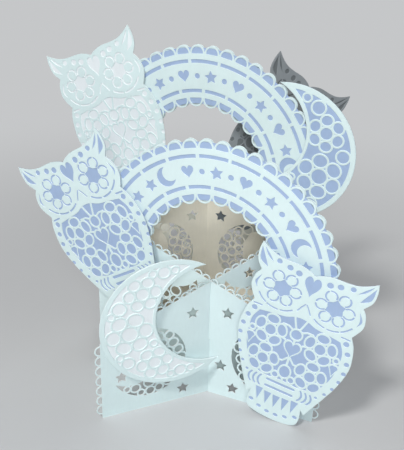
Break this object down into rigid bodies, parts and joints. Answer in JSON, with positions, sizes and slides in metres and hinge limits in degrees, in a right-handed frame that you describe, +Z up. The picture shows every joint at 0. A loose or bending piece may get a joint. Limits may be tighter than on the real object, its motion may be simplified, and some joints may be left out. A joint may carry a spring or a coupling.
{
  "type": "cascade greeting card",
  "caption": "Free-standing cascade card: two slotted fold sheets in a diamond with lace-cut owls, moons and arches raised in tiers.",
  "frame": {"origin": "foot of the front crossing, at the middle of the sheet's thickness", "axes": "+Z up, +X to the viewer's right along the card's width, +Y away from the viewer"},
  "size_m": [0.2022, 0.1402, 0.2055],
  "materials": {
    "pearl_card": "satin",
    "lilac_card": "satin",
    "white_card": "satin",
    "grey_card": "satin",
    "foam": "matte"
  },
  "bodies": {
    "root": {"left_front_sheet": "pearl_card", "right_front_sheet": "pearl_card", "mid_arch_backing": "pearl_card", "mid_arch_liner": "lilac_card", "mid_arch_face": "pearl_card", "rear_arch_backing": "pearl_card", "rear_arch_liner": "lilac_card", "rear_arch_face": "pearl_card", "front_owl_liner": "lilac_card", "front_owl_face": "pearl_card", "left_owl_liner": "lilac_card", "left_owl_face": "pearl_card", "rear_left_owl_liner": "white_card", "rear_left_owl_face": "pearl_card", "rear_right_owl_liner": "grey_card", "rear_right_owl_face": "pearl_card", "front_moon_liner": "white_card", "front_moon_face": "pearl_card", "rear_moon_liner": "lilac_card", "rear_moon_face": "pearl_card", "mid_arch_pad": "foam", "mid_arch_spacer_right": "foam", "mid_arch_spacer_top": "foam", "mid_arch_spacer_left": "foam", "rear_arch_pad": "foam", "rear_arch_spacer_right": "foam", "rear_arch_spacer_top": "foam", "rear_arch_spacer_left": "foam", "front_owl_low_pad": "foam", "front_owl_high_pad": "foam", "left_owl_low_pad": "foam", "left_owl_high_pad": "foam", "rear_left_owl_low_pad": "foam", "rear_left_owl_high_pad": "foam", "rear_right_owl_low_pad": "foam", "rear_right_owl_high_pad": "foam", "rear_moon_low_pad": "foam", "rear_moon_high_pad": "foam", "front_moon_outer_pad": "foam", "front_moon_inner_pad": "foam"}
  },
  "joints": []
}
